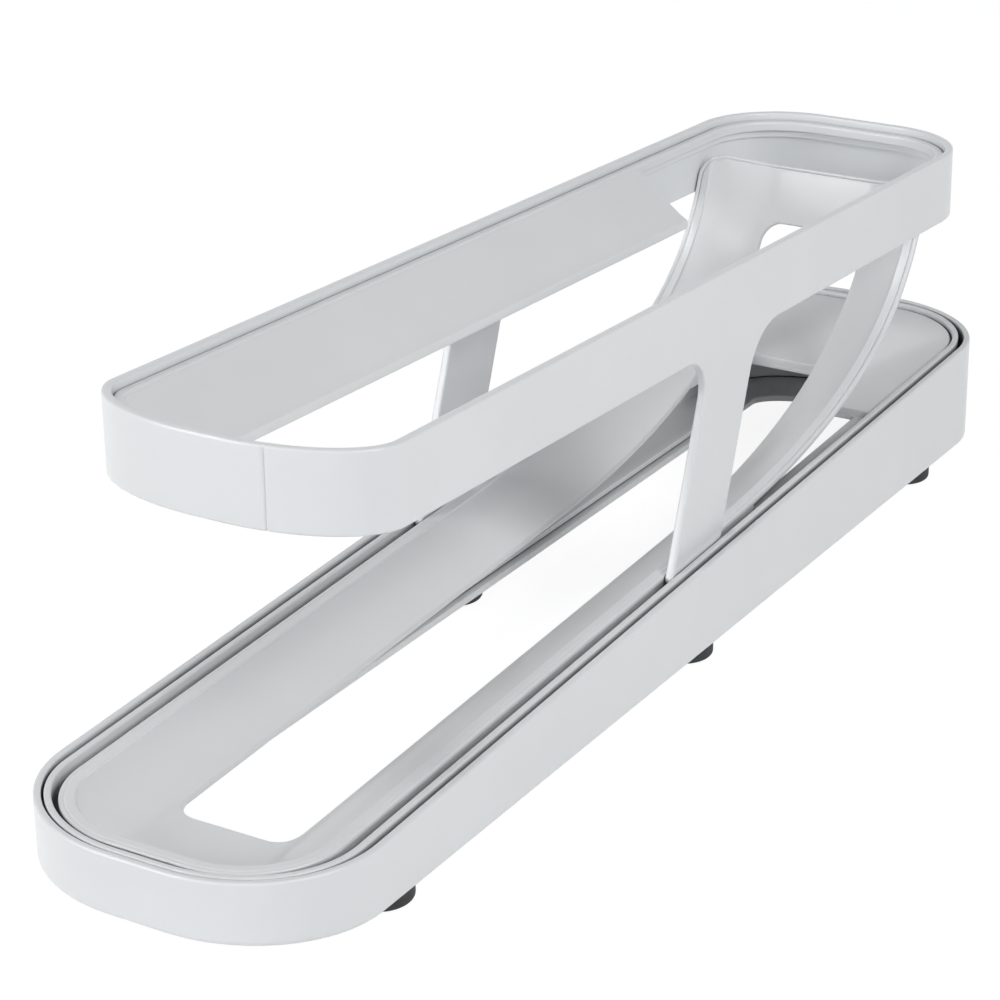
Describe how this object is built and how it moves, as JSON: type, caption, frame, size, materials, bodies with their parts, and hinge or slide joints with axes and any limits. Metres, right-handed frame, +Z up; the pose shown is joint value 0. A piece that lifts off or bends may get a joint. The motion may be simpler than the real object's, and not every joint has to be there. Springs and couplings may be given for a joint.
{
  "type": "rolling egg dispenser",
  "caption": "Two-tier rolling egg dispenser: a wedge base tray with a slotted track and curved slide, and a sloped upper band with a slotted track on leaning side legs.",
  "frame": {"origin": "on the table under the middle of the base, level with the undersides of the feet", "axes": "+X to the right seen from the front, -Y to the front where the lowest egg is taken out, +Z up"},
  "size_m": [0.088, 0.37, 0.1063],
  "materials": {
    "tray_white": "satin moulded plastic, cool white",
    "track_white": "satin moulded plastic, cool white",
    "frame_white": "satin moulded plastic, cool white",
    "foot_rubber": "matte dark grey rubber"
  },
  "bodies": {
    "root": {"base_shell": "tray_white", "deck_frame": "tray_white", "roll_track": "track_white", "upper_frame": "frame_white", "upper_track": "track_white", "foot_front_left": "foot_rubber", "foot_front_right": "foot_rubber", "foot_mid_left": "foot_rubber", "foot_mid_right": "foot_rubber", "foot_rear_left": "foot_rubber", "foot_rear_right": "foot_rubber"}
  },
  "joints": []
}
